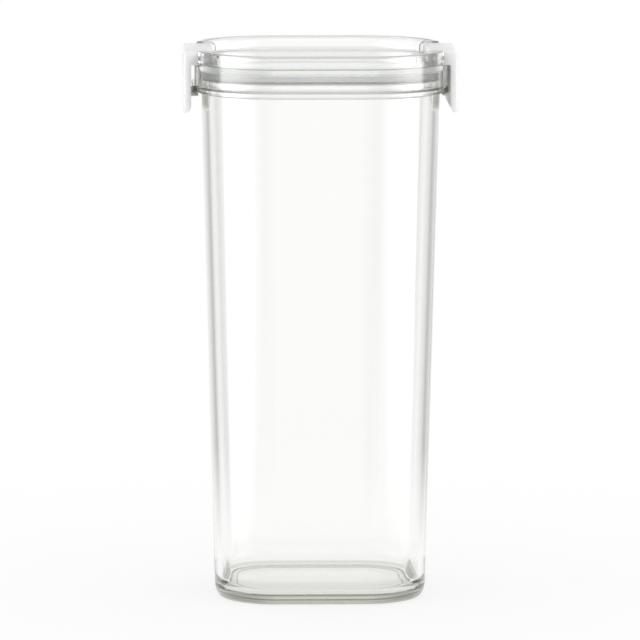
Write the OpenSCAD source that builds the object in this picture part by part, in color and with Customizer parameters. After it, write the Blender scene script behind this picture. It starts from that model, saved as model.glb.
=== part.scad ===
// Clear food canister: a tall jar with rounded-square walls, a lid that clips on
// over a silicone seal, and two side latches that hook under catches on the jar.
// Millimetres, +Z up, origin at the middle of the foot.

/* [Plan outline] */
// Half width of the reference outline, from which every wall is offset
half_width = 50; // [44:1:60]
// Radius of the reference outline's corners
corner_radius = 32; // [26:0.5:36]

/* [Jar] */
// Height of the jar to the top of its rim
jar_height = 223; // [120:1:300]
// Width of the jar across its foot
foot_width = 89.8; // [84:0.2:96]
// Width of the jar's body just under the flange
shoulder_width = 101.4; // [100:0.1:104]
// Thickness of the jar's wall
wall = 2.8; // [2.2:0.1:3.2]
// Thickness of the jar's floor
floor_thickness = 3.6; // [2.5:0.1:6]
// Radius between the foot and the wall, outside
foot_round = 6; // [3:0.5:9]
// Radius between the floor and the wall, inside
floor_round = 6; // [3:0.5:9]
// Depth of the hollow under the floor, inside the foot ring
foot_hollow = 0.8; // [0.4:0.1:1.5]
// Width of the ring that the jar stands on
foot_ring = 3; // [2:0.5:5]
// Thickness of the flange below the neck
flange_thickness = 2.3; // [1.5:0.1:3]
// Height of the neck above the flange
neck_height = 3.7; // [3:0.1:6]
// Distance that the neck stands in from the shoulder
neck_step = 0.2; // [0:0.1:0.8]
// Height of each side catch, down from the top of the flange
catch_height = 2.6; // [2.4:0.1:3.4]
// Length of each side catch along the wall
catch_length = 32; // [16:1:34]

/* [Lid] */
// Thickness of the lid's skirt
skirt_thickness = 1.6; // [1.2:0.1:2]
// Thickness of the raised rim round the recess
rim_thickness = 2.4; // [1.8:0.1:3]
// Depth of the recess in the lid's top
recess_depth = 6; // [6:0.1:8]
// Radius between the recess and its deck
recess_round = 0.6; // [0.4:0.1:2]
// Radius on the top edges of the raised rim
rim_round = 0.5; // [0.3:0.1:0.9]
// Thickness of the deck at the bottom of the recess
deck_thickness = 2.5; // [1.5:0.1:4]
// Thickness of the plug wall inside the mouth
plug_thickness = 1.6; // [1.2:0.1:2.4]
// Depth of the plug wall below the jar's rim
plug_depth = 4.5; // [2:0.5:10]
// Width of the fillet between the plug wall and the deck
plug_fillet = 1; // [0.5:0.1:1.5]
// Distance that each side pad stands out of the skirt, under the latch
pad_reach = 1.2; // [0.8:0.1:1.6]
// Length of each side pad along the skirt
pad_length = 38; // [20:1:41]
// Depth of the notch's floor below the deck, under each latch
notch_step = 0.8; // [0.3:0.1:1.2]

/* [Gasket] */
// Height of the seal ring
gasket_height = 3.2; // [2.4:0.1:5]
// Depth of the groove in the face that meets the jar's rim
gasket_groove = 0.8; // [0.4:0.1:1.2]

/* [Latches] */
// Depth of the latch's top below the lid's top
latch_sink = 0.7; // [0:0.1:1]
// Distance that each latch stands out from the lid's skirt
latch_stand = 6.1; // [5.6:0.1:8]
// Length of each latch along the side
latch_length = 43; // [36:0.5:43]
// Drop from the top of the latch to the tip of its flap
latch_drop = 26.3; // [24:0.1:30]
// Thickness of the flap
flap_thickness = 3.4; // [2.8:0.1:3.6]
// Gap between the latch's top block and the notch's floor
block_gap = 0.4; // [0.3:0.1:1]
// Distance that the hook stands in from the flap
hook_reach = 3.2; // [2:0.1:3.5]
// Height of the hook where it meets the flap
hook_height = 1.9; // [1.6:0.1:2.6]
// Length of the hook along the flap
hook_length = 30; // [10:1:32]
// Radius of the latch's outer corners, seen from above
latch_round = 1.5; // [0.5:0.1:2]
// Radius of the flap's lower corners, seen from the side
flap_round = 4; // [1:0.5:8]
// Number of hollows under the latch's top
hollow_count = 4; // [2:1:6]
// Depth of each hollow
hollow_depth = 3; // [1.5:0.1:3.4]
// Thickness of the ribs between the hollows
rib_thickness = 1.4; // [1:0.1:2]

/* [Hinge] */
// Diameter of the hinge pin
pin_diameter = 2; // [1.6:0.1:2.2]
// Distance of the pin's centre in from the lid's outer face
pin_inset = 4.3; // [4:0.1:4.6]
// Thickness of the ear that holds each end of the pin
ear_thickness = 2.5; // [2:0.1:4]

/* [Clearances] */
// Gap between the jar's neck and the lid's skirt
skirt_gap = 0.3; // [0.2:0.05:0.5]
// Gap between the jar's mouth and the lid's plug
plug_gap = 0.5; // [0.3:0.05:0.8]
// Gap between the lid's skirt and the jar's flange
flange_gap = 0.5; // [0.3:0.05:0.8]
// Gap between the jar's rim and the seal ring
seal_gap = 0.2; // [0.1:0.05:0.3]
// Gap round the seal ring in its channel
channel_gap = 0.1; // [0.05:0.05:0.2]
// Gap between the latch's hook and the jar's catch
hook_gap = 0.3; // [0.2:0.05:0.6]
// Gap between the latch's flap and the jar's catch
catch_gap = 0.6; // [0.3:0.05:1]
// Gap between the latch's barrel and the lid's deck
barrel_gap = 0.4; // [0.2:0.05:0.6]
// Gap between each end of the latch and its ear
ear_gap = 0.3; // [0.2:0.05:0.6]
// Radial gap between the pin and the latch's bore
pin_run_gap = 0.06; // [0.03:0.01:0.09]

/* [Hidden] */
$fn = 96;

// Plan outline: a square with round corners, whose arcs are about (corner_centre, corner_centre)
corner_centre = half_width - corner_radius;

// Heights, from the jar's rim down and up
flange_top = jar_height - neck_height;
flange_bottom = flange_top - flange_thickness;
catch_bottom = flange_top - catch_height;
skirt_bottom = flange_top + flange_gap;
floor_top = foot_hollow + floor_thickness;
gasket_bottom = jar_height + seal_gap;
gasket_top = gasket_bottom + gasket_height;
deck_bottom = gasket_top + channel_gap;
deck_top = deck_bottom + deck_thickness;
lid_top = deck_top + recess_depth;

// Offsets of the walls from the reference outline; the lid's follow from the jar's
foot_offset = foot_width / 2 - half_width;
shoulder_offset = shoulder_width / 2 - half_width;
neck_offset = shoulder_offset - neck_step;
skirt_inside = neck_offset + skirt_gap;
lid_offset = skirt_inside + skirt_thickness;
draft = atan2(shoulder_offset - foot_offset, flange_bottom);
wall_slant = wall / cos(draft);
plug_outside = inner_offset(jar_height - plug_depth) - plug_gap;
plug_inside = plug_outside - plug_thickness;

// Latch and hinge, on the right-hand side
lid_face = half_width + lid_offset;
latch_top = lid_top - latch_sink;
notch_floor = deck_top - notch_step;
barrel_radius = (latch_top - notch_floor - barrel_gap) / 2;
pin_x = lid_face - pin_inset;
pin_z = latch_top - barrel_radius;
latch_face = lid_face + latch_stand;
flap_inside = latch_face - flap_thickness;
catch_outside = flap_inside - catch_gap;
latch_bottom = latch_top - latch_drop;
hook_radius = norm([catch_outside - pin_x, catch_bottom - pin_z]) + hook_gap;
notch_half = latch_length / 2 + ear_gap;
block_bottom = notch_floor + block_gap;

// Small edge breaks, the steps of an arc, and the reach of cuts beyond what they cut
edge = 0.4;
arc_steps = 6;
over = 1;

// Points on an arc about (x, z), from angle a to angle b
function arc(x, z, radius, a, b) = [
    for (i = [0 : arc_steps])
        let (t = a + (b - a) * i / arc_steps)
        [x + radius * cos(t), z + radius * sin(t)]
];

// Offset of the jar's drafted outer and inner faces at height z
function outer_offset(z) = foot_offset + z * tan(draft);
function inner_offset(z) = outer_offset(z) - wall_slant;

// Sweeps a closed (offset, height) profile round the plan outline
module ring(profile) {
    for (turn = [0 : 90 : 270]) rotate(turn) {
        translate([corner_centre, corner_centre])
            rotate_extrude(angle = 90) translate([corner_radius, 0]) polygon(profile);
        along_y(2 * corner_centre) translate([half_width, 0]) polygon(profile);
    }
}

// Fills the middle that a ring leaves when its profile runs in to the corner centres
module middle(bottom, top) {
    width = 2 * corner_centre;
    translate([-corner_centre, -corner_centre, bottom]) cube([width, width, top - bottom]);
}

// Stands a (x, z) outline up and extrudes it along Y, centred
module along_y(length) {
    rotate([90, 0, 0]) linear_extrude(height = length, center = true) children();
}

// Block with its two outer vertical edges rounded, from x = inside to x = outside
module side_block(inside, outside, length, bottom, top, radius) {
    translate([0, 0, bottom]) linear_extrude(height = top - bottom) polygon(concat(
        [[inside, -length / 2]],
        arc(outside - radius, radius - length / 2, radius, -90, 0),
        arc(outside - radius, length / 2 - radius, radius, 0, 90),
        [[inside, length / 2]]
    ));
}

// Closed profile of the jar: underside, foot, outer wall, flange, neck, inner wall, floor
function jar_profile() =
    let (foot_x = outer_offset(foot_round) - foot_round / cos(draft))
    let (floor_z = floor_top + floor_round)
    let (floor_x = inner_offset(floor_z) - floor_round / cos(draft))
    concat(
        [[-corner_radius, foot_hollow], [foot_x - foot_ring, foot_hollow], [foot_x - foot_ring + edge, 0]],
        arc(foot_x, foot_round, foot_round, -90, -draft),
        [[shoulder_offset, flange_bottom], [lid_offset - edge, flange_bottom]],
        [[lid_offset, flange_bottom + edge], [lid_offset, flange_top - edge]],
        [[lid_offset - edge, flange_top], [neck_offset, flange_top]],
        arc(neck_offset - rim_round, jar_height - rim_round, rim_round, 0, 90),
        arc(inner_offset(jar_height) + edge, jar_height - edge, edge, 90, 180),
        arc(floor_x, floor_z, floor_round, -draft, -90),
        [[-corner_radius, floor_top]]
    );

// Catch on the right-hand side of the jar: a tab on the flange, under which the latch hooks
module catch() {
    inside = (shoulder_width - wall) / 2;
    side_block(inside, catch_outside, catch_length, catch_bottom, flange_top, latch_round);
}

module jar() {
    color("Gainsboro", 0.35) {
        ring(jar_profile());
        middle(foot_hollow, floor_top);
        for (side = [0, 1]) mirror([side, 0, 0]) catch();
    }
}

// Closed profile of the lid: underside, plug, seal channel, skirt, rim, recess, deck
function lid_profile() =
    let (rim_x = lid_offset - rim_thickness, plug_bottom = jar_height - plug_depth)
    concat(
        [[-corner_radius, deck_bottom], [plug_inside - plug_fillet, deck_bottom]],
        [[plug_inside, deck_bottom - plug_fillet]],
        [[plug_inside, plug_bottom], [plug_outside - edge, plug_bottom], [plug_outside, plug_bottom + edge]],
        [[plug_outside, deck_bottom], [skirt_inside, deck_bottom], [skirt_inside, skirt_bottom]],
        [[lid_offset - edge, skirt_bottom], [lid_offset, skirt_bottom + edge]],
        arc(lid_offset - rim_round, lid_top - rim_round, rim_round, 0, 90),
        arc(rim_x + rim_round, lid_top - rim_round, rim_round, 90, 180),
        arc(rim_x - recess_round, deck_top + recess_round, recess_round, 0, -90),
        [[-corner_radius, deck_top]]
    );

// Cut through the rim that makes room for the latch
module notch() {
    width = pin_inset + barrel_radius + pad_reach + 2 * over;
    translate([pin_x - barrel_radius - over, -notch_half, notch_floor])
        cube([width, 2 * notch_half, lid_top + over - notch_floor]);
}

// Pad that thickens the skirt under the latch
module pad() {
    inside = lid_face - skirt_thickness / 2;
    side_block(inside, lid_face + pad_reach, pad_length, skirt_bottom, deck_top, pad_reach);
}

// Ear at the far end of the notch, round over the hinge pin
module ear() {
    outside = lid_face - rim_thickness * 0.75;
    radius = lid_top - pin_z;
    translate([0, notch_half + ear_thickness / 2, 0]) along_y(ear_thickness) polygon(concat(
        [[outside, deck_top - over], [outside, lid_top]],
        arc(pin_x, pin_z, radius, 90, 180),
        [[pin_x - radius, deck_top - over]]
    ));
}

module lid() {
    color("Gainsboro", 0.35) difference() {
        union() {
            difference() {
                union() {
                    ring(lid_profile());
                    middle(deck_bottom, deck_top);
                    for (side = [0, 1]) mirror([side, 0, 0]) pad();
                }
                for (side = [0, 1]) mirror([side, 0, 0]) notch();
            }
            for (side = [0, 1], end = [0, 1]) mirror([side, 0, 0]) mirror([0, end, 0]) ear();
        }
        for (side = [-1, 1]) translate([side * pin_x, 0, pin_z])
            along_y(2 * (notch_half + ear_thickness + over)) circle(d = pin_diameter);
    }
}

// Seal ring: a band with a groove between two soft lips that meet the jar's rim
function gasket_profile() =
    let (inside = plug_outside + channel_gap, outside = skirt_inside - channel_gap)
    let (centre = (inside + outside) / 2, lip = (outside - inside) / 4)
    concat(
        arc(inside + edge, gasket_bottom + edge, edge, 180, 270),
        [[inside + lip, gasket_bottom], [centre - edge, gasket_bottom + gasket_groove]],
        [[centre + edge, gasket_bottom + gasket_groove], [outside - lip, gasket_bottom]],
        arc(outside - edge, gasket_bottom + edge, edge, -90, 0),
        arc(outside - edge, gasket_top - edge, edge, 0, 90),
        arc(inside + edge, gasket_top - edge, edge, 90, 180)
    );

module gasket() {
    color("AliceBlue", 0.8) ring(gasket_profile());
}

// Section of the latch across its hinge: barrel, top block, flap and its blunt tip
function latch_section() =
    let (outside = latch_face, tip = flap_thickness / 2, tip_slope = 45)
    concat(
        arc(outside - latch_round, latch_top - latch_round, latch_round, 0, 90),
        arc(pin_x, pin_z, barrel_radius, 90, 270),
        [[pin_x + barrel_radius, block_bottom], [flap_inside - edge, block_bottom]],
        [[flap_inside, block_bottom - edge], [flap_inside, latch_bottom + 1.5 * tip]],
        [[outside - tip - edge, latch_bottom + edge]],
        arc(outside - tip / 2, latch_bottom + tip / 2, tip / 2, 180 + tip_slope, 360)
    );

// Section of the hook: its top is an arc about the pin, so that it swings clear of the catch
function hook_section() =
    let (root = flap_inside + edge, tip = flap_inside - hook_reach)
    let (root_angle = -acos((root - pin_x) / hook_radius), tip_angle = -acos((tip - pin_x) / hook_radius))
    let (bottom = pin_z + hook_radius * sin(root_angle) - hook_height)
    concat(
        arc(pin_x, pin_z, hook_radius, tip_angle, root_angle),
        [[root, bottom - edge], [flap_inside, bottom], [tip + edge, bottom], [tip, bottom + edge]]
    );

// Hollows under the top block, between barrel and flap
module hollows() {
    inside = pin_x + barrel_radius + edge;
    outside = flap_inside - edge;
    pitch = (latch_length - rib_thickness) / hollow_count;
    for (i = [0 : hollow_count - 1])
        translate([inside, rib_thickness + i * pitch - latch_length / 2, block_bottom - over])
            cube([outside - inside, pitch - rib_thickness, hollow_depth + over]);
}

// Latch on the right-hand side
module latch() {
    color("WhiteSmoke", 0.9) difference() {
        union() {
            intersection() {
                along_y(latch_length) polygon(latch_section());
                side_block(0, latch_face, latch_length, latch_bottom - over, lid_top, latch_round);
                rotate([90, 0, 90]) linear_extrude(height = latch_face + over) polygon(concat(
                    arc(flap_round - latch_length / 2, latch_bottom + flap_round, flap_round, 180, 270),
                    arc(latch_length / 2 - flap_round, latch_bottom + flap_round, flap_round, 270, 360),
                    [[latch_length / 2, lid_top], [-latch_length / 2, lid_top]]
                ));
            }
            along_y(hook_length) polygon(hook_section());
        }
        hollows();
        translate([pin_x, 0, pin_z]) along_y(latch_length + over) circle(d = pin_diameter + 2 * pin_run_gap);
    }
}

module latch_right() {
    latch();
}

module latch_left() {
    mirror([1, 0, 0]) latch();
}

// Pin on the right-hand side, held in both ears, with its ends chamfered
module hinge_pin() {
    radius = pin_diameter / 2;
    half_length = notch_half + ear_thickness - edge / 2;
    chamfer = edge / 2;
    color("Silver") translate([pin_x, 0, pin_z]) rotate([90, 0, 0]) rotate_extrude() polygon([
        [0, -half_length],
        [radius - chamfer, -half_length],
        [radius, chamfer - half_length],
        [radius, half_length - chamfer],
        [radius - chamfer, half_length],
        [0, half_length]
    ]);
}

module hinge_pin_right() {
    hinge_pin();
}

module hinge_pin_left() {
    mirror([1, 0, 0]) hinge_pin();
}

jar();
lid();
gasket();
latch_left();
latch_right();
hinge_pin_left();
hinge_pin_right();
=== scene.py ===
"""Dresses the clear food canister: jar, lid, seal ring, two latches and their hinge pins.

Every shell is a profile carried round one rounded-square outline, worked out as whole
numpy arrays. Sizes are in millimetres, as in the part's source, and meshes are written in
metres.
"""

import logging
import math
from dataclasses import dataclass, field
from enum import Enum
from typing import Optional, Sequence, Union

import bmesh
import bpy
import numpy as np
from mathutils import Matrix, Vector


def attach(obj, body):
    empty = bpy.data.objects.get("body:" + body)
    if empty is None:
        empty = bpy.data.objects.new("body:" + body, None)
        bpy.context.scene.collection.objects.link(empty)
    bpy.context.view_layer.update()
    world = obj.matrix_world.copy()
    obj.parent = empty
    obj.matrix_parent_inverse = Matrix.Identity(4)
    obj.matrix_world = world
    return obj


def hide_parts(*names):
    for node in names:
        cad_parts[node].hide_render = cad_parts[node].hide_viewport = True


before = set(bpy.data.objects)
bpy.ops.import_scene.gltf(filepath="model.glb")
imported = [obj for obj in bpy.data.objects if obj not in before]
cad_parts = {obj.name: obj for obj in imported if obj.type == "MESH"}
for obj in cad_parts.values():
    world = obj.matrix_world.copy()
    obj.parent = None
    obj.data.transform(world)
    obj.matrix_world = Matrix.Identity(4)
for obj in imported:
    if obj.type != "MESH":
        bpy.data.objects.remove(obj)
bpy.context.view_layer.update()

Array = np.ndarray
Socket = bpy.types.NodeSocket
Value = Union[float, Socket]
Stops = Sequence[tuple]

MM = 0.001
LOG = logging.getLogger("canister")
WHITE = (1.0, 1.0, 1.0, 1.0)

# Limits on the arcs of a profile: the least setback, in millimetres, and the largest shares
# of a side that an arc and its support point may take.
LEAST_SETBACK = 0.08
ARC_SHARE = 0.42
SUPPORT_SHARE = 0.47
LEAST_LENGTH = 1e-9

# Distance in metres under which a shell's points are one, and the angle in degrees past
# which its shading breaks.
WELD_DISTANCE = 2e-7
SHARP_ANGLE = 32

# Sizes of the rings that close a shell's cap, as shares of its rim.
CAP_SHARES = (0.82, 0.6, 0.38, 0.18)

# X sign of the side that each quarter turn of the outline starts at, or 0 at front and back.
QUARTER_SIDES = (1, 0, -1, 0)

# Height in millimetres up to which the painted shade below is given.
TONE_TOP = 240.0

# Heights in millimetres and tones of the shade painted on the clear parts: bands painted darker
# at the foot, flange and rim of the jar and at the plug, skirt, deck and rim of the lid, for the
# dark lines that refraction draws along these edges.
JAR_PAINTED_SHADE = (
    (0.0, 0.75), (0.5, 0.75), (0.7, 1.0), (0.9, 1.0),
    (1.1, (0.64, 0.63, 0.56)), (4.0, (0.66, 0.65, 0.58)), (4.3, 1.0),
    (216.6, 1.0), (216.9, 0.5), (217.3, 0.5), (217.6, 1.0),
    (218.8, 1.0), (219.0, 0.7), (219.35, 0.65), (219.45, 1.0),
    (222.3, 1.0), (222.6, 0.4), (223.0, 0.4), (TONE_TOP, 0.4),
)
LID_PAINTED_SHADE = (
    (218.5, 0.7), (218.8, 0.75), (219.1, 1.0),
    (219.7, 0.7), (220.1, 0.7), (220.4, 1.0),
    (229.04, 1.0), (229.1, 0.6), (229.5, 0.6), (229.8, 1.0),
    (234.3, 1.0), (234.5, 0.4), (234.95, 0.4), (235.0, 0.8),
)


class Side(Enum):
    """The two sides that carry a latch, with the sign of their X."""

    LEFT = -1
    RIGHT = 1

    def node(self, stem: str) -> bpy.types.Object:
        """The frame's solid of this side whose name starts with stem."""
        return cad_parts[f"{stem}_{self.name.lower()}"]


# ---------------------------------------------------------------------------- shapes


def rounded(corners: Array, radii: Array, steps: int, support: float) -> Array:
    """Rounds the corners of many open profiles at once.

    Each corner P becomes the arc ((1-s)^2 A + 2 s (1-s) w P + s^2 B) / (same sum of
    weights), with A and B at the setback r tan(turn / 2) before and after P and w the
    cosine of half the turn, which is a true circular arc. A support point on either side
    keeps the shading of the flat parts flat.

    Args:
        corners: Profile corners, columns x corners x 2, in millimetres.
        radii: Radius of each corner, columns x corners.
        steps: Segments in each arc.
        support: Distance of the support points beyond the arc's ends.

    Returns:
        The profiles' points, columns x points x 2, with the two end corners kept.
    """
    before = corners[:, 1:-1] - corners[:, :-2]
    after = corners[:, 2:] - corners[:, 1:-1]
    length_in = np.linalg.norm(before, axis=2, keepdims=True)
    length_out = np.linalg.norm(after, axis=2, keepdims=True)
    way_in = before / np.maximum(length_in, LEAST_LENGTH)
    way_out = after / np.maximum(length_out, LEAST_LENGTH)
    turn = np.arccos(np.clip((way_in * way_out).sum(2, keepdims=True), -1.0, 1.0))
    setback = np.maximum(radii[:, 1:-1, None] * np.tan(turn / 2), LEAST_SETBACK)
    back = np.minimum(setback, ARC_SHARE * length_in)
    front = np.minimum(setback, ARC_SHARE * length_out)
    middle = corners[:, 1:-1]
    start, end = middle - way_in * back, middle + way_out * front
    first = middle - way_in * np.minimum(back + support, SUPPORT_SHARE * length_in)
    last = middle + way_out * np.minimum(front + support, SUPPORT_SHARE * length_out)
    s = np.linspace(0.0, 1.0, steps + 1)[None, None, :, None]
    weight = np.cos(turn / 2)[:, :, :, None]
    total = (1 - s) ** 2 + 2 * s * (1 - s) * weight + s**2
    arc = (
        (1 - s) ** 2 * start[:, :, None]
        + 2 * s * (1 - s) * weight * middle[:, :, None]
        + s**2 * end[:, :, None]
    ) / total
    points = np.concatenate([first[:, :, None], arc, last[:, :, None]], axis=2)
    points = points.reshape(len(corners), -1, 2)
    return np.concatenate([corners[:, :1], points, corners[:, -1:]], axis=1)


def sections(count: int, corners: Sequence[tuple], steps: int = 6, support: float = 0.35) -> Array:
    """Lays the corners of a profile out on every column and rounds them.

    Args:
        count: Number of columns.
        corners: (offset, height, radius) of each corner. Each is one number for all
            columns, or an array with a number for each column.
        steps: Segments in each arc.
        support: Distance of the support points beyond the arc's ends.

    Returns:
        The profiles' points, columns x points x 2.
    """
    spread = [np.stack([np.broadcast_to(part, count) for part in corner], 1) for corner in corners]
    table = np.stack(spread, 1)
    return rounded(table[:, :, :2], table[:, :, 2], steps, support)


@dataclass(frozen=True)
class Columns:
    """Feet of the columns that a profile is repeated on, round the outline.

    Attributes:
        foot: Points on the reference outline, columns x 2.
        way: Unit directions out of the outline, columns x 2.
        centre: Arc centre of the corner that each column belongs to, not used on a flat.
        along: Signed distance along the side, or infinity in a corner.
        side: X sign of the latch side that a column is on, or 0.
        flat: True where the column stands on the flat part of a side.
        radius: Radius of the outline's corners.
    """

    foot: Array
    way: Array
    centre: Array
    along: Array
    side: Array
    flat: Array
    radius: float

    def place(self, profiles: Array) -> Array:
        """Carries profiles of (offset, height) to their columns.

        On a flat side a point is foot + offset times way. In a corner it goes as far
        along way as takes it to the distance radius + offset from the arc's centre.

        Args:
            profiles: Columns x points x 2, offset and height.

        Returns:
            Columns x points x 3 places, in millimetres.
        """
        offset = profiles[:, :, 0]
        q = self.foot - self.centre
        along_way = (q * self.way).sum(1)[:, None]
        inside = along_way**2 - self.radius**2 + (self.radius + offset) ** 2
        in_corner = np.sqrt(np.maximum(inside, 0.0)) - along_way
        reach = np.where(self.flat[:, None], offset, in_corner)
        plan = self.foot[:, None] + reach[:, :, None] * self.way[:, None]
        return np.concatenate([plan, profiles[:, :, 1:]], axis=2)

    def on_latch_side(self) -> Array:
        """True where a column is on one of the two sides that carry a latch."""
        return self.side != 0


@dataclass(frozen=True)
class Outline:
    """Square with round corners, from which every wall stands at an offset.

    Attributes:
        half_width: Half the width of the square.
        corner_radius: Radius of its corners.
        corner_steps: Steps between the columns of one corner.
        straight: Distance from a side's middle within which columns stand square to it.
    """

    half_width: float = 50.0
    corner_radius: float = 32.0
    corner_steps: int = 26
    straight: float = 24.6

    def columns(self, marks: Sequence[float]) -> Columns:
        """Spreads columns round the outline.

        One side and the corner after it are worked out, and turned by a quarter three
        times.

        Args:
            marks: Distances from the middle of a side at which columns stand, on both
                sides of the middle and on all four sides.

        Returns:
            The columns, anticlockwise from the start of the +X side.
        """
        centre = self.half_width - self.corner_radius
        half = np.unique(np.round(np.concatenate([marks, [0.0, centre, self.straight]]), 4))
        along = np.concatenate([-half[:0:-1], half])
        over = np.maximum(np.abs(along) - centre, 0.0)
        side_x = centre + np.sqrt(self.corner_radius**2 - over**2)
        side_foot = np.stack([side_x, along], axis=1)
        side_way = np.tile([1.0, 0.0], (len(along), 1))
        side_centre = np.stack([np.full_like(along, centre), np.sign(along) * centre], 1)
        first = math.asin((self.straight - centre) / self.corner_radius)
        share = np.arange(1, self.corner_steps) / self.corner_steps
        angle = first + share * (math.pi / 2 - 2 * first)
        turned = share * math.pi / 2
        arc = np.stack([np.cos(angle), np.sin(angle)], axis=1)
        foot = np.concatenate([side_foot, centre + self.corner_radius * arc])
        way = np.concatenate([side_way, np.stack([np.cos(turned), np.sin(turned)], axis=1)])
        middle = np.concatenate([side_centre, np.full((len(share), 2), centre)])
        place = np.concatenate([along, np.full(len(share), np.inf)])
        flat = np.concatenate([np.abs(along) <= centre, np.zeros(len(share), bool)])
        feet, ways, centres, sides = [], [], [], []
        for quarter, sign in enumerate(QUARTER_SIDES):
            turn = math.pi / 2 * quarter
            across, up = math.cos(turn), math.sin(turn)
            spin = np.round([[across, up], [-up, across]])
            feet.append(foot @ spin)
            ways.append(way @ spin)
            centres.append(middle @ spin)
            sides.append(np.where(np.isfinite(place), sign, 0))
        return Columns(
            foot=np.concatenate(feet),
            way=np.concatenate(ways),
            centre=np.concatenate(centres),
            along=np.tile(place, len(QUARTER_SIDES)),
            side=np.concatenate(sides),
            flat=np.tile(flat, len(QUARTER_SIDES)),
            radius=self.corner_radius,
        )


def round_end(half_length: float, radius: float) -> Array:
    """Distances at which columns stand over a pad's rounded end, evenly spread in angle."""
    return half_length - radius * (1 - np.sin(np.linspace(0, np.pi / 2, 6)))


def bulge(along: Array, half_length: float, radius: float) -> Array:
    """Height of a pad's rounded end above its root, as a share of the radius.

    It is 1 over the pad's middle, falls as a quarter circle over its last radius and is
    0 at half_length; past it the value is minus 1, which means no pad.

    Args:
        along: Distance of each column from the pad's middle.
        half_length: Half the pad's length.
        radius: Radius of the pad's ends.

    Returns:
        The share for each column.
    """
    into_end = np.clip((along - (half_length - radius)) / radius, 0.0, 1.0)
    return np.where(along <= half_length, np.sqrt(1 - into_end**2), -1.0)


def grid_faces(columns: int, rows: int, closed: bool) -> Array:
    """Corner indices of the quads of a grid that closes round its columns.

    Args:
        columns: Number of columns, of which the last joins the first.
        rows: Number of points in each column.
        closed: True if each column's last point joins its first.

    Returns:
        Quads x 4 indices into columns x rows points.
    """
    count = rows if closed else rows - 1
    c, r = np.meshgrid(np.arange(columns), np.arange(count), indexing="ij")
    across, up = (c + 1) % columns, (r + 1) % rows
    quads = [c * rows + r, across * rows + r, across * rows + up, c * rows + up]
    return np.stack(quads, -1).reshape(-1, 4)


def write_mesh(name: str, points: Array, faces: Sequence[Sequence[int]]) -> bpy.types.Object:
    """Writes points in millimetres and faces to a new, smoothly shaded mesh object.

    Args:
        name: Name of the object and its mesh.
        points: Points x 3, in millimetres.
        faces: Corner indices of each face.

    Returns:
        The object, with faces turned outwards.
    """
    mesh = bpy.data.meshes.new(name)
    mesh.from_pydata((points * MM).tolist(), [], [list(f) for f in faces])
    work = bmesh.new()
    work.from_mesh(mesh)
    bmesh.ops.remove_doubles(work, verts=work.verts, dist=WELD_DISTANCE)
    if work.calc_volume(signed=True) < 0:
        bmesh.ops.reverse_faces(work, faces=work.faces)
    work.to_mesh(mesh)
    work.free()
    mesh.validate()
    mesh.shade_smooth()
    mesh.set_sharp_from_angle(angle=math.radians(SHARP_ANGLE))
    piece = bpy.data.objects.new(name, mesh)
    bpy.context.scene.collection.objects.link(piece)
    return piece


def capped_shell(name: str, places: Array) -> bpy.types.Object:
    """Closes a swept profile with two flat caps that shrink to the axis.

    Each cap repeats the profile's end ring at falling shares of its size and ends in one
    point on the axis.

    Args:
        name: Name of the piece.
        places: Columns x points x 3, from the lower cap's ring to the upper one's.

    Returns:
        The closed piece.
    """
    shares = np.array(CAP_SHARES)[None, :, None]
    flat = np.array([1.0, 1.0, 0.0])

    def cap(ring: Array) -> Array:
        """Rings of one cap, from the rim inwards."""
        return ring[:, None] * (flat * shares + (1 - flat))

    low, high = cap(places[:, 0]), cap(places[:, -1])
    wall = np.concatenate([low[:, ::-1], places, high], axis=1)
    columns, rows = wall.shape[:2]
    poles = np.array([[0, 0, places[0, 0, 2]], [0, 0, places[0, -1, 2]]])
    points = np.concatenate([wall.reshape(-1, 3), poles])
    faces = grid_faces(columns, rows, closed=False).tolist()
    c = np.arange(columns)
    following = (c + 1) % columns
    low_pole = np.full(columns, columns * rows)
    top = rows - 1
    faces += np.stack([following * rows, c * rows, low_pole], 1).tolist()
    faces += np.stack([c * rows + top, following * rows + top, low_pole + 1], 1).tolist()
    return write_mesh(name, points, faces)


def put_on(piece: bpy.types.Object, material: bpy.types.Material) -> None:
    """Makes a material the only one of a piece and reports the piece.

    Args:
        piece: The piece to dress.
        material: Its material.
    """
    piece.data.materials.clear()
    piece.data.materials.append(material)
    LOG.info("%s: %d faces, %s", piece.name, len(piece.data.polygons), material.name)


# ---------------------------------------------------------------------------- finishes


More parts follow.
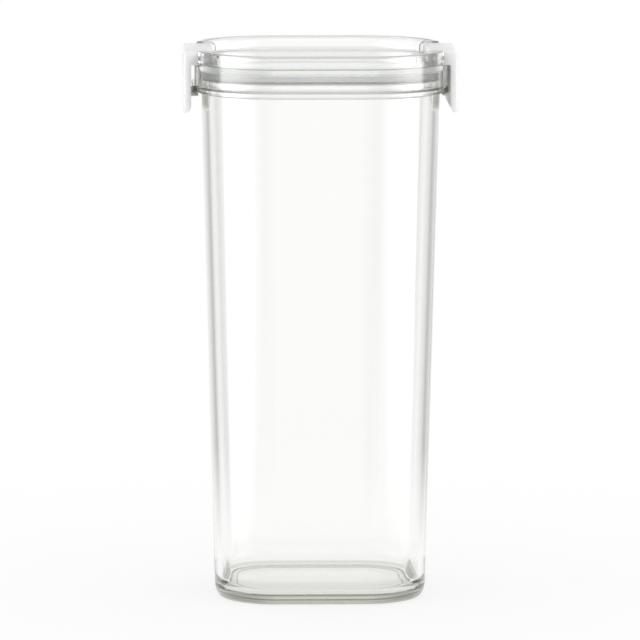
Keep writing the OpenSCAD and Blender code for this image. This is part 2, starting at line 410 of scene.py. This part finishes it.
class Nodes:
    """Short hand for building a node tree."""

    def __init__(self, tree: bpy.types.NodeTree) -> None:
        """Starts from an empty tree.

        Args:
            tree: The tree to fill; what it held is removed.
        """
        self.tree = tree
        tree.nodes.clear()

    def put(self, socket: Socket, value: object) -> None:
        """Links an output to a socket, or sets the socket to a constant.

        Args:
            socket: The input socket.
            value: Another node's output, or a constant.
        """
        if isinstance(value, Socket):
            self.tree.links.new(value, socket)
        else:
            socket.default_value = value

    def add(self, kind: str, inputs: Optional[dict] = None, **settings: object) -> bpy.types.Node:
        """Adds a node, links or sets its inputs and sets its own options.

        Args:
            kind: The node's type name, without the ShaderNode prefix.
            inputs: Socket name or number to a value or to another node's output.
            **settings: Properties of the node itself.

        Returns:
            The new node.
        """
        node = self.tree.nodes.new("ShaderNode" + kind)
        for key, value in settings.items():
            setattr(node, key, value)
        for key, value in (inputs or {}).items():
            self.put(node.inputs[key], value)
        return node

    def math(self, operation: str, *values: Value) -> Socket:
        """Adds a Math node and returns its output."""
        return self.add("Math", dict(enumerate(values)), operation=operation).outputs[0]

    def span(
        self, value: Socket, start: float, end: float, low: float = 0.0, high: float = 1.0
    ) -> Socket:
        """Goes from low to high while a value goes from start to end, and stays there."""
        return self.add("MapRange", {0: value, 1: start, 2: end, 3: low, 4: high}).outputs[0]

    def ramp(self, value: Socket, stops: Stops) -> Socket:
        """Adds a colour ramp.

        Args:
            value: What the ramp reads.
            stops: (position, grey level or colour) of each stop.

        Returns:
            The ramp's colour.
        """
        node = self.add("ValToRGB", {0: value})
        elements = node.color_ramp.elements
        while len(elements) < len(stops):
            elements.new(0.5)
        for element, (position, level) in zip(elements, stops):
            element.position = position
            colour = level if isinstance(level, tuple) else (level, level, level)
            element.color = (*colour, 1.0)
        return node.outputs[0]

    def curve(self, value: Socket, top: float, stops: Stops) -> Socket:
        """A ramp whose stops are given in the value's own units, up to top."""
        shares = [(place / top, level) for place, level in stops]
        return self.ramp(self.math("DIVIDE", value, top), shares)

    def blend(self, share: Value, first: object, second: object, kind: str = "MIX") -> Socket:
        """Mixes or multiplies two colours.

        Args:
            share: Share of the second colour, or strength of the product.
            first: The first colour or its socket.
            second: The second colour or its socket.
            kind: The Mix node's blend type.

        Returns:
            The mixed colour.
        """
        node = self.add("Mix", data_type="RGBA", blend_type=kind)
        for number, value in ((0, share), (6, first), (7, second)):
            self.put(node.inputs[number], value)
        return node.outputs[2]

    def mix(self, share: Value, first: Socket, second: Socket) -> Socket:
        """Mixes two shaders by the share of the second."""
        return self.add("MixShader", {0: share, 1: first, 2: second}).outputs[0]

    def place(self) -> Socket:
        """The Object coordinates."""
        return self.add("TexCoord").outputs["Object"]

    def noise(self, scale: float, detail: float = 2.0, stretch: tuple = (1.0, 1.0, 1.0)) -> Socket:
        """Adds noise on Object coordinates.

        Args:
            scale: Scale of the noise, per metre.
            detail: Octaves of finer noise on top.
            stretch: Scale along each axis, below 1 where the noise is drawn out.

        Returns:
            The noise's value.
        """
        mapped = self.add("Mapping", {"Vector": self.place(), "Scale": stretch}).outputs[0]
        return self.add("TexNoise", {"Vector": mapped, "Scale": scale, "Detail": detail}).outputs[0]

    def bump(
        self, height: Socket, distance: float, strength: float, below: Optional[Socket] = None
    ) -> Socket:
        """Adds relief, on top of another relief if one is given.

        Args:
            height: The relief's height, from 0 to 1.
            distance: Height that 1 stands for, in metres.
            strength: Share of the relief that shows.
            below: Normal of the relief underneath.

        Returns:
            The normal.
        """
        inputs = {"Height": height, "Distance": distance, "Strength": strength}
        if below is not None:
            inputs["Normal"] = below
        return self.add("Bump", inputs).outputs[0]

    def finish(self, inputs: dict, volume: Optional[Socket] = None) -> None:
        """Ends the tree with a Principled shader.

        Args:
            inputs: The shader's sockets to their values.
            volume: Shader of the inside, if it has one.
        """
        ends = {"Surface": self.add("BsdfPrincipled", inputs).outputs[0]}
        if volume is not None:
            ends["Volume"] = volume
        self.add("OutputMaterial", ends)


def new_material(name: str) -> tuple[bpy.types.Material, Nodes]:
    """Makes a material with an empty node tree.

    Args:
        name: The material's name.

    Returns:
        The material and the builder of its nodes.
    """
    made = bpy.data.materials.new(name)
    made.use_nodes = True
    return made, Nodes(made.node_tree)


@dataclass(frozen=True)
class ClearPlastic:
    """Clear moulded plastic with a faint cast, flow waves, fine scratches, rub marks and painted
    shade at its edges.

    Attributes:
        name: The material's name.
        edges: Heights in millimetres and tones of the shade painted at the edges.
        edge_reach: Distance from the middle, along X, past which no shade is painted at the edges.
        tint: Colour of the faces.
        index: Refractive index.
        roughness: Roughness of the untouched face.
        rub_roughness: Roughness where hands and shelves have rubbed it.
        wave_height: Height of the flow waves, in metres.
        wave_stretch: Scale of the waves along each axis.
        scratch_height: Height of the scratches' edges, in metres.
        scratch_stretch: Scale of the scratches along each axis.
        scratch_share: Noise levels between which a scratch starts.
        depth_colour: Colour that light takes on in the thickness.
        depth_density: How fast it does so, per metre.
    """

    name: str
    edges: Stops
    edge_reach: float = 49.5
    tint: tuple = (0.996, 0.997, 0.988)
    index: float = 1.57
    roughness: float = 0.012
    rub_roughness: float = 0.035
    wave_height: float = 0.00002
    wave_stretch: tuple = (1.0, 1.0, 0.25)
    scratch_height: float = 0.000002
    scratch_stretch: tuple = (1.0, 1.0, 0.03)
    scratch_share: tuple = (0.66, 0.7)
    depth_colour: tuple = (0.80, 0.83, 0.76)
    depth_density: float = 7.0

    def material(self) -> bpy.types.Material:
        """Builds the material: transmission with absorption, bump from waves and scratches, and
        shade painted into the colour in bands at the edges.

        Returns:
            The material.
        """
        made, nodes = new_material(self.name)
        waves = nodes.noise(9.0, 1.0, self.wave_stretch)
        start, full = self.scratch_share
        marks = nodes.noise(900.0, 2.0, self.scratch_stretch)
        scratch = nodes.ramp(marks, [(0.0, 0.0), (start, 0.0), (full, 1.0)])
        low = nodes.bump(waves, self.wave_height, 0.5)
        bump = nodes.bump(scratch, self.scratch_height, 0.3, low)
        wear = [(0.45, self.roughness), (0.75, self.rub_roughness)]
        rub = nodes.ramp(nodes.noise(35.0, 4.0), wear)
        where = nodes.add("SeparateXYZ", {0: nodes.place()})
        height = nodes.math("DIVIDE", where.outputs["Z"], MM)
        # Painted shade: the colour darkens in bands at the heights of the edges, except past
        # edge_reach along X.
        tones = nodes.curve(height, TONE_TOP, self.edges)
        across = nodes.math("ABSOLUTE", where.outputs["X"])
        beyond = nodes.math("GREATER_THAN", across, self.edge_reach * MM)
        tones = nodes.blend(beyond, tones, WHITE)
        colour = nodes.blend(1.0, tones, (*self.tint, 1.0), "MULTIPLY")
        depth = nodes.add(
            "VolumeAbsorption", {"Color": (*self.depth_colour, 1.0), "Density": self.depth_density}
        )
        inputs = {
            "Base Color": colour,
            "Transmission Weight": 1.0,
            "IOR": self.index,
            "Roughness": rub,
            "Normal": bump,
        }
        nodes.finish(inputs, depth.outputs[0])
        return made


@dataclass(frozen=True)
class Silicone:
    """Milky silicone with a soft face and fine mould lines round the ring."""

    name: str = "silicone"
    colour: tuple = (0.965, 0.985, 0.995)
    index: float = 1.41
    transmission: float = 0.93
    roughness: tuple = (0.4, 0.53)
    line_height: float = 0.00002
    line_stretch: tuple = (0.05, 0.05, 1.0)

    def material(self) -> bpy.types.Material:
        """Builds the material: part transmission, with fine lines and a dusty sheen.

        Returns:
            The material.
        """
        made, nodes = new_material(self.name)
        lines = nodes.noise(600.0, 2.0, self.line_stretch)
        bump = nodes.bump(lines, self.line_height, 0.6)
        smooth, dusty = self.roughness
        rough = nodes.ramp(nodes.noise(120.0, 3.0), [(0.3, smooth), (0.7, dusty)])
        inputs = {
            "Base Color": (*self.colour, 1.0),
            "Transmission Weight": self.transmission,
            "IOR": self.index,
            "Roughness": rough,
            "Normal": bump,
        }
        nodes.finish(inputs)
        return made


@dataclass(frozen=True)
class LatchPlastic:
    """Milk-white plastic, satin from its mould, a little see-through at thin edges.

    Attributes:
        name: The material's name.
        colour: Colour of the plastic.
        shade: Colour of its flow clouds.
        index: Refractive index.
        roughness: Least and greatest roughness.
        grain_height: Height of the spark grain, in metres.
        depth_share: Share of the light that goes into the plastic.
        depth: How far red, green and blue light go in, in metres.
    """

    name: str = "latch_plastic"
    colour: tuple = (0.925, 0.93, 0.915)
    shade: tuple = (0.905, 0.91, 0.893)
    index: float = 1.49
    roughness: tuple = (0.28, 0.4)
    grain_height: float = 0.00003
    depth_share: float = 0.7
    depth: tuple = (0.0050, 0.0048, 0.0043)

    def material(self) -> bpy.types.Material:
        """Builds the material: flow clouds in the colour, spark grain and shallow depth.

        Returns:
            The material.
        """
        made, nodes = new_material(self.name)
        colour = nodes.ramp(nodes.noise(60.0, 3.0), [(0.3, self.shade), (0.7, self.colour)])
        bump = nodes.bump(nodes.noise(2400.0, 2.0), self.grain_height, 0.25)
        smooth, rubbed = self.roughness
        rough = nodes.ramp(nodes.noise(150.0, 3.0), [(0.3, smooth), (0.7, rubbed)])
        inputs = {
            "Base Color": colour,
            "IOR": self.index,
            "Roughness": rough,
            "Subsurface Weight": self.depth_share,
            "Subsurface Radius": self.depth,
            "Subsurface Scale": 1.0,
            "Normal": bump,
        }
        nodes.finish(inputs)
        return made


@dataclass(frozen=True)
class DrawnSteel:
    """Drawn steel wire, with lines along the pin."""

    name: str = "pin_steel"
    colour: tuple = (0.56, 0.57, 0.58)
    roughness: tuple = (0.22, 0.38)
    line_height: float = 0.00001
    line_stretch: tuple = (1.0, 0.02, 1.0)

    def material(self) -> bpy.types.Material:
        """Builds the material: metal with drawing lines along Y.

        Returns:
            The material.
        """
        made, nodes = new_material(self.name)
        lines = nodes.noise(5000.0, 2.0, self.line_stretch)
        bump = nodes.bump(lines, self.line_height, 0.4)
        smooth, drawn = self.roughness
        inputs = {
            "Base Color": (*self.colour, 1.0),
            "Metallic": 1.0,
            "Roughness": nodes.ramp(lines, [(0.3, smooth), (0.7, drawn)]),
            "Normal": bump,
        }
        nodes.finish(inputs)
        return made


# ---------------------------------------------------------------------------- pieces


@dataclass(frozen=True)
class Jar:
    """The jar: drafted walls, foot ring, flange with two side catches, and neck.

    Offsets are taken from the outline, heights from the surface that the jar stands on.
    """

    height: float = 223.0
    foot_offset: float = -5.1
    shoulder_offset: float = 0.7
    wall: float = 2.8
    floor_top: float = 4.4
    foot_hollow: float = 0.8
    foot_ring: float = 3.0
    foot_bevel: float = 0.4
    bottom_round: float = 6.0
    rim_round: float = 0.5
    flange_bottom: float = 217.0
    flange_top: float = 219.3
    flange_offset: float = 2.4
    neck_offset: float = 0.5
    catch_bottom: float = 216.7
    catch_offset: float = 4.5
    catch_half: float = 16.0
    catch_round: float = 1.5
    edge: float = 0.4
    fillet: float = 0.3
    foot_edge: float = 0.2
    cap_offset: float = -17.0

    def rise(self) -> float:
        """Offset that the drafted wall gains with each millimetre of height."""
        return (self.shoulder_offset - self.foot_offset) / self.flange_bottom

    def outer(self, height: Array) -> Array:
        """Offset of the drafted outer face at a height."""
        return self.foot_offset + self.rise() * height

    def inner(self, height: float) -> float:
        """Offset of the drafted inner face at a height."""
        return self.outer(height) - self.wall * math.hypot(1.0, self.rise())

    def build(self, outline: Outline) -> bpy.types.Object:
        """Carries the jar's profile round the outline.

        Between the catch's ends on the two latch sides, the flange's corners move out
        and down to the catch's.

        Args:
            outline: The outline that the walls follow.

        Returns:
            The jar, one closed shell.
        """
        ends = round_end(self.catch_half, self.catch_round)
        marks = [4, 8, 12, *ends, self.catch_half + 0.12, 17, 19, 21, 23]
        columns = outline.columns(marks)
        along = np.abs(columns.along)
        swell = bulge(along, self.catch_half, self.catch_round)
        swell = np.where(columns.on_latch_side(), swell, -1.0)
        catch = swell >= 0
        catch_out = self.catch_offset - self.catch_round * (1 - np.maximum(swell, 0))
        out = np.where(catch, catch_out, self.flange_offset)
        low = np.where(catch, self.catch_bottom, self.flange_bottom)
        floor = self.floor_top
        ring = self.outer(self.bottom_round) - self.bottom_round - self.foot_ring
        corners = [
            (self.cap_offset, self.foot_hollow, 0.0),
            (ring, self.foot_hollow, self.fillet),
            (ring + self.foot_bevel, 0.0, self.foot_edge),
            (self.outer(0.0), 0.0, self.bottom_round),
            (self.outer(low), low, self.fillet),
            (out, low, self.edge),
            (out, self.flange_top, self.edge),
            (self.neck_offset, self.flange_top, self.fillet),
            (self.neck_offset, self.height, self.rim_round),
            (self.inner(self.height), self.height, self.edge),
            (self.inner(floor), floor, self.bottom_round),
            (self.cap_offset, floor, 0.0),
        ]
        return capped_shell("jar_body", columns.place(sections(len(along), corners)))


@dataclass(frozen=True)
class Lid:
    """The lid: recessed deck, plug wall, skirt, raised rim, side pads, notches and ears.

    Offsets are taken from the outline, heights from the surface that the jar stands on.
    """

    top: float = 235.0
    deck_top: float = 229.0
    deck_bottom: float = 226.5
    deck_ring: tuple = (-6.4, -7.4)
    skirt_bottom: float = 219.8
    skirt_inside: float = 0.8
    skirt_outside: float = 2.4
    rim_inside: float = 0.0
    plug_bottom: float = 218.5
    plug_outside: float = -2.56
    plug_thickness: float = 1.6
    plug_fillet: float = 1.0
    pad_offset: float = 3.6
    pad_half: float = 19.0
    notch_half: float = 21.8
    notch_floor: float = 228.2
    notch_inside: float = -5.75
    notch_ring: tuple = (1.2, -2.0)
    ear_thickness: float = 2.5
    ear_inside: float = -5.45
    ear_round: float = 3.55
    rim_round: float = 0.5
    recess_round: float = 0.6
    edge: float = 0.4
    notch_edge: float = 0.3
    fillet: float = 0.2
    deck_fillet: float = 0.1
    end_step: float = 0.06
    cap_offset: float = -17.0

    def build(self, outline: Outline) -> bpy.types.Object:
        """Carries the lid's profile round the outline.

        On the latch sides the rim's corners drop to the notch's floor inside the notch,
        and reach in over the deck where an ear holds the hinge pin. The pads stand out
        from the skirt with rounded ends.

        Args:
            outline: The outline that the walls follow.

        Returns:
            The lid, one closed shell.
        """
        reach = self.pad_offset - self.skirt_outside
        ear_end = self.notch_half + self.ear_thickness
        step = self.end_step
        marks = [4, 8, 12, 15, *round_end(self.pad_half, reach), self.pad_half + 0.3, 20.5]
        marks += [self.notch_half - step, self.notch_half + step, self.notch_half + 0.5]
        marks += [ear_end - 0.5, ear_end - step, ear_end + step]
        columns = outline.columns(marks)
        along = np.abs(columns.along)
        on_side = columns.on_latch_side()
        notch = on_side & (along < self.notch_half)
        ear = on_side & ~notch & (along < ear_end)
        swell = np.where(on_side, bulge(along, self.pad_half, reach), -1.0)
        out = self.skirt_outside + reach * np.maximum(swell, 0)

        def by_place(in_notch: float, in_ear: float, elsewhere: float) -> Array:
            """A value by whether a column is in a notch, in an ear or neither."""
            return np.where(notch, in_notch, np.where(ear, in_ear, elsewhere))

        plug_inside = self.plug_outside - self.plug_thickness
        top = by_place(self.notch_floor, self.top, self.top)
        deck = by_place(self.notch_floor, self.deck_top, self.deck_top)
        notch_outer, notch_inner = self.notch_ring
        ring_outer, ring_inner = self.deck_ring
        inside = self.ear_inside, self.rim_inside
        corners = [
            (self.cap_offset, self.deck_bottom, 0.0),
            (plug_inside, self.deck_bottom, self.plug_fillet),
            (plug_inside, self.plug_bottom, self.edge),
            (self.plug_outside, self.plug_bottom, self.edge),
            (self.plug_outside, self.deck_bottom, self.fillet),
            (self.skirt_inside, self.deck_bottom, self.fillet),
            (self.skirt_inside, self.skirt_bottom, self.fillet),
            (out, self.skirt_bottom, self.edge),
            (out, top, by_place(self.notch_edge, self.rim_round, self.rim_round)),
            (
                by_place(notch_outer, *inside),
                top,
                by_place(self.fillet, self.ear_round, self.rim_round),
            ),
            (
                by_place(notch_inner, *inside),
                deck,
                by_place(self.fillet, self.notch_edge, self.recess_round),
            ),
            (by_place(self.notch_inside, ring_outer, ring_outer), deck, self.deck_fillet),
            (by_place(self.notch_inside, ring_inner, ring_inner), self.deck_top, self.deck_fillet),
            (self.cap_offset, self.deck_top, 0.0),
        ]
        return capped_shell("lid_shell", columns.place(sections(len(along), corners)))


@dataclass(frozen=True)
class Seal:
    """The seal ring in the lid's channel, with a groove between two lips."""

    bottom: float = 223.2
    top: float = 226.4
    inside: float = -2.46
    outside: float = 0.7
    groove: float = 0.8
    edge: float = 0.4
    fillet: float = 0.2

    def build(self, outline: Outline) -> bpy.types.Object:
        """Carries the ring's closed profile round the outline.

        Args:
            outline: The outline that the ring follows.

        Returns:
            The seal ring, one closed loop.
        """
        columns = outline.columns([6, 12, 18, 21])
        centre, lip = (self.inside + self.outside) / 2, (self.outside - self.inside) / 4
        groove_top = self.bottom + self.groove
        corners = [
            (centre, self.top, 0.0),
            (self.inside, self.top, self.edge),
            (self.inside, self.bottom, self.edge),
            (self.inside + lip, self.bottom, self.fillet),
            (centre - self.edge, groove_top, self.fillet),
            (centre + self.edge, groove_top, self.fillet),
            (self.outside - lip, self.bottom, self.fillet),
            (self.outside, self.bottom, self.edge),
            (self.outside, self.top, self.edge),
            (centre, self.top, 0.0),
        ]
        profiles = sections(len(columns.along), corners, steps=4, support=0.2)[:, :-1]
        places = columns.place(profiles)
        count, rows = places.shape[:2]
        return write_mesh("seal_ring", places.reshape(-1, 3), grid_faces(count, rows, closed=True))


@dataclass(frozen=True)
class Latch:
    """A latch: the solid from the frame, with its edges broken as a mould leaves them.

    Attributes:
        side: The side that the latch is on.
        edge_break: Width of the broken edges.
        weld: Distance under which the solid's points are one.
        flat_angle: Angle in degrees up to which faces join to one.
        edge_angle: Angle in degrees past which an edge is broken.
    """

    side: Side
    edge_break: float = 0.22
    weld: float = 0.002
    flat_angle: float = 0.4
    edge_angle: float = 38

    def build(self) -> bpy.types.Object:
        """Welds the frame's solid, joins its flat faces and rounds its edges.

        Returns:
            The latch, riding as its node does.
        """
        piece = self.side.node("latch")
        weld = piece.modifiers.new("weld", "WELD")
        weld.merge_threshold = self.weld * MM
        flat = piece.modifiers.new("flat_faces", "DECIMATE")
        flat.decimate_type = "DISSOLVE"
        flat.angle_limit = math.radians(self.flat_angle)
        bevel = piece.modifiers.new("edge_break", "BEVEL")
        bevel.width = self.edge_break * MM
        bevel.segments = 2
        bevel.limit_method = "ANGLE"
        bevel.angle_limit = math.radians(self.edge_angle)
        bevel.harden_normals = True
        piece.data.shade_smooth()
        return piece


# ---------------------------------------------------------------------------- studio


@dataclass(frozen=True)
class Studio:
    """Pale floor, bright surround with grey wings, soft boxes and the camera.

    Attributes:
        distance: Distance of the camera from its target.
        elevation: Height of the camera over its target, in degrees.
        yaw: Turn of the camera round the target, in degrees.
        roll: Turn of the camera about its own axis, in degrees.
        focal_share: Focal length as a multiple of the sensor's width.
        sensor: Width of the sensor.
        target: The place that the camera looks at.
        wings: Degrees off the backdrop's middle and tones, for what shines through.
        room: Degrees off the backdrop's middle and tones, for what glints.
        ceiling: Share of the height and tones overhead, for what shines through.
        steep: Shares of the height between which a ray counts as steep.
        steep_through: Tones of steep rays that shine through, by eighths of a turn.
        steep_glint: Tones of steep rays that glint, by eighths of a turn.
        daylight: Tones that light matt faces, from straight below to straight above.
        floor_radius: Radius of the floor.
        floor_colour: Colour of the floor to light.
        shadow_share: Share of the shadow that shows at the foot.
        shadow_fade: Shares of the floor's radius between which the shadow fades.
        floor_fade: Shares of it between which the floor's mirror image fades.
        floor_gap: Distance of the floor below the foot.
    """

    distance: float = 3000.0
    elevation: float = 7.34
    yaw: float = 1.93
    roll: float = 0.08
    focal_share: float = 10.911
    sensor: float = 36.0
    target: tuple = (0.47, 0.0, 116.79)
    wings: Stops = (
        (0, 1.0), (4, 1.0), (6, 0.9), (10, 0.82), (15, 0.74), (20, 0.67), (26, 0.61),
        (33, 0.56), (40, 0.52), (48, 0.7), (58, 0.9), (68, 1.3), (90, 1.5),
    )
    room: Stops = (
        (0, 1.0), (30, 0.95), (48, 0.6), (75, 0.35), (84, 0.4), (92, 6.5), (112, 6.5),
        (128, 4.0), (142, 2.2), (155, 0.8), (165, 0.68), (180, 0.68),
    )
    ceiling: Stops = ((0.0, 1.0), (0.12, 1.0), (0.35, 0.7))
    steep: tuple = (0.17, 0.25)
    steep_through: Stops = ((0.0, 0.9), (0.35, 0.85), (1.0, 0.6))
    steep_glint: Stops = ((0.0, 0.35), (0.75, 0.35), (0.95, 2.0))
    daylight: Stops = ((0.0, 0.55), (0.5, 0.74), (0.75, 1.02), (1.0, 1.05))
    floor_radius: float = 420.0
    floor_colour: tuple = (0.93, 0.93, 0.925)
    shadow_share: float = 0.18
    shadow_fade: tuple = (0.3, 0.95)
    floor_fade: tuple = (0.3, 0.97)
    floor_gap: float = 0.2

    def camera(self) -> None:
        """Stands the camera on a sphere round the target, with a long lens."""
        e, a = math.radians(self.elevation), math.radians(self.yaw)
        back = Vector((-math.cos(e) * math.sin(a), -math.cos(e) * math.cos(a), math.sin(e)))
        data = bpy.data.cameras.new("camera")
        data.sensor_width = self.sensor
        data.lens = self.focal_share * self.sensor
        data.clip_start, data.clip_end = 0.1, 100.0
        camera = bpy.data.objects.new("camera", data)
        camera.location = (Vector(self.target) + back * self.distance) * MM
        aim = (-back).to_track_quat("-Z", "Y").to_matrix()
        turn = aim @ Matrix.Rotation(math.radians(self.roll), 3, "Z")
        camera.rotation_euler = turn.to_euler()
        bpy.context.scene.collection.objects.link(camera)
        bpy.context.scene.camera = camera

    def surround(self) -> None:
        """Fills the world: white to the camera, pale to matt faces, a studio to clear ones.

        What shines through is a wide white backdrop that falls to grey towards the wings,
        so that clear walls show their edges, and a darker ceiling, so that rims do. Steep
        rays see tones that swing between pale and grey with every eighth of a turn. What
        glints sees the same backdrop with brighter soft boxes at the sides and a dim room
        behind the camera.
        """
        world = bpy.data.worlds.new("surround")
        bpy.context.scene.world = world
        world.use_nodes = True
        world.cycles.sampling_method = "NONE"
        nodes = Nodes(world.node_tree)
        ray = nodes.add("LightPath").outputs
        parts = nodes.add("SeparateXYZ", {0: nodes.add("TexCoord").outputs["Generated"]})
        x, y, z = (parts.outputs[axis] for axis in "XYZ")
        aside = nodes.math("ABSOLUTE", x)
        azimuth = nodes.math("ARCTAN2", aside, y)
        folded = nodes.math("ARCTAN2", aside, nodes.math("ABSOLUTE", y))
        backdrop = nodes.curve(nodes.math("DEGREES", folded), 90.0, self.wings)
        eighths = nodes.math("SINE", nodes.math("MULTIPLY", azimuth, 4.0))
        lobes = nodes.math("ABSOLUTE", eighths)
        steep = nodes.span(nodes.math("ABSOLUTE", z), *self.steep)
        through = nodes.blend(steep, backdrop, nodes.ramp(lobes, self.steep_through))
        through = nodes.blend(1.0, through, nodes.ramp(z, self.ceiling), "MULTIPLY")
        room = nodes.curve(nodes.math("DEGREES", azimuth), 180.0, self.room)
        glint = nodes.blend(steep, room, nodes.ramp(lobes, self.steep_glint))
        seen = nodes.blend(ray["Is Transmission Ray"], glint, through)
        matt = nodes.ramp(nodes.math("MULTIPLY_ADD", z, 0.5, 0.5), self.daylight)
        lit = nodes.blend(ray["Is Diffuse Ray"], seen, matt)
        white = nodes.blend(ray["Is Camera Ray"], lit, WHITE)
        shade = nodes.add("Background", {"Color": white, "Strength": 1.0})
        nodes.add("OutputWorld", {"Surface": shade.outputs[0]})

    def floor_material(self) -> bpy.types.Material:
        """Builds the floor's material: white, with the shadow's share of matt grey.

        To the camera it is white and a share of matt, which fades outwards. To light it
        is matt, and in mirror images and through clear walls its far part is clear.

        Returns:
            The material.
        """
        made, nodes = new_material("floor")
        radius = self.floor_radius * MM
        ray = nodes.add("LightPath").outputs
        reach = nodes.add("VectorMath", {0: nodes.place()}, operation="LENGTH").outputs["Value"]
        near, far = (share * radius for share in self.shadow_fade)
        edge = nodes.span(reach, near, far, self.shadow_share, 0.0)
        white = nodes.add("Emission", {"Color": WHITE, "Strength": 1.0}).outputs[0]
        matt = nodes.add("BsdfDiffuse", {"Color": (*self.floor_colour, 1.0)}).outputs[0]
        shown = nodes.mix(ray["Is Diffuse Ray"], nodes.mix(edge, white, matt), matt)
        mirrored = nodes.math("ADD", ray["Is Glossy Ray"], ray["Is Transmission Ray"])
        mirrored = nodes.math("MINIMUM", mirrored, 1.0)
        near, far = (share * radius for share in self.floor_fade)
        gone = nodes.math("MULTIPLY", mirrored, nodes.span(reach, near, far))
        faded = nodes.mix(gone, shown, nodes.add("BsdfTransparent").outputs[0])
        nodes.add("OutputMaterial", {"Surface": faded})
        return made

    def floor(self) -> None:
        """Lays a white disc that keeps a soft contact shadow and fades to plain white.

        The disc is rings of points at even shares of its radius round one middle point.
        """
        turns, rings = 96, 4
        turn = np.linspace(0, 2 * np.pi, turns + 1)[:-1]
        radii = np.arange(1, rings + 1) / rings * self.floor_radius
        level = np.zeros((turns, rings))
        disc = np.stack([np.outer(np.cos(turn), radii), np.outer(np.sin(turn), radii), level], 2)
        points = np.concatenate([disc.reshape(-1, 3), [[0.0, 0.0, 0.0]]])
        faces = grid_faces(turns, rings, closed=False).tolist()
        around = np.arange(turns)
        middle = np.full(turns, turns * rings)
        faces += np.stack([(around + 1) % turns * rings, around * rings, middle], 1).tolist()
        mesh = bpy.data.meshes.new("floor")
        mesh.from_pydata((points * MM).tolist(), [], faces)
        mesh.materials.append(self.floor_material())
        floor = bpy.data.objects.new("floor", mesh)
        floor.location = (0, 0, -self.floor_gap * MM)
        bpy.context.scene.collection.objects.link(floor)

    def build(self) -> None:
        """Sets up camera, surround and floor, and lets light through many clear faces."""
        self.camera()
        self.surround()
        self.floor()
        bpy.context.scene.view_settings.view_transform = "Standard"
        cycles = bpy.context.scene.cycles
        cycles.max_bounces = 64
        cycles.transmission_bounces = 64
        cycles.glossy_bounces = 64
        cycles.diffuse_bounces = 16


# ---------------------------------------------------------------------------- assembly


@dataclass
class Canister:
    """The whole canister, built round the frame's bodies."""

    outline: Outline = field(default_factory=Outline)

    def jar(self) -> None:
        """Puts the jar in its node's place."""
        jar = Jar().build(self.outline)
        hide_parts("jar")
        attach(jar, "jar")
        # The jar's clear plastic carries shade painted in bands at its edges.
        put_on(jar, ClearPlastic("clear_jar", JAR_PAINTED_SHADE).material())

    def lid(self) -> None:
        """Puts the lid in its node's place."""
        lid = Lid().build(self.outline)
        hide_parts("lid")
        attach(lid, "lid")
        # The lid's clear plastic carries shade painted in bands at its edges.
        put_on(lid, ClearPlastic("clear_lid", LID_PAINTED_SHADE).material())

    def seal(self) -> None:
        """Puts the seal ring in the gasket's place, on the lid's body."""
        seal = Seal().build(self.outline)
        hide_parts("gasket")
        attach(seal, "lid")
        put_on(seal, Silicone().material())

    def latches(self) -> None:
        """Dresses the frame's latches and hinge pins, which keep their bodies and slots."""
        latch_plastic, steel = LatchPlastic().material(), DrawnSteel().material()
        for side in Side:
            put_on(Latch(side).build(), latch_plastic)
            put_on(side.node("hinge_pin"), steel)

    def build(self) -> None:
        """Builds every piece and dresses it."""
        self.jar()
        self.lid()
        self.seal()
        self.latches()


def main() -> None:
    """Builds the canister and its studio."""
    logging.basicConfig(level=logging.INFO, format="%(name)s: %(message)s")
    Canister().build()
    Studio().build()


if __name__ == "__main__":
    main()
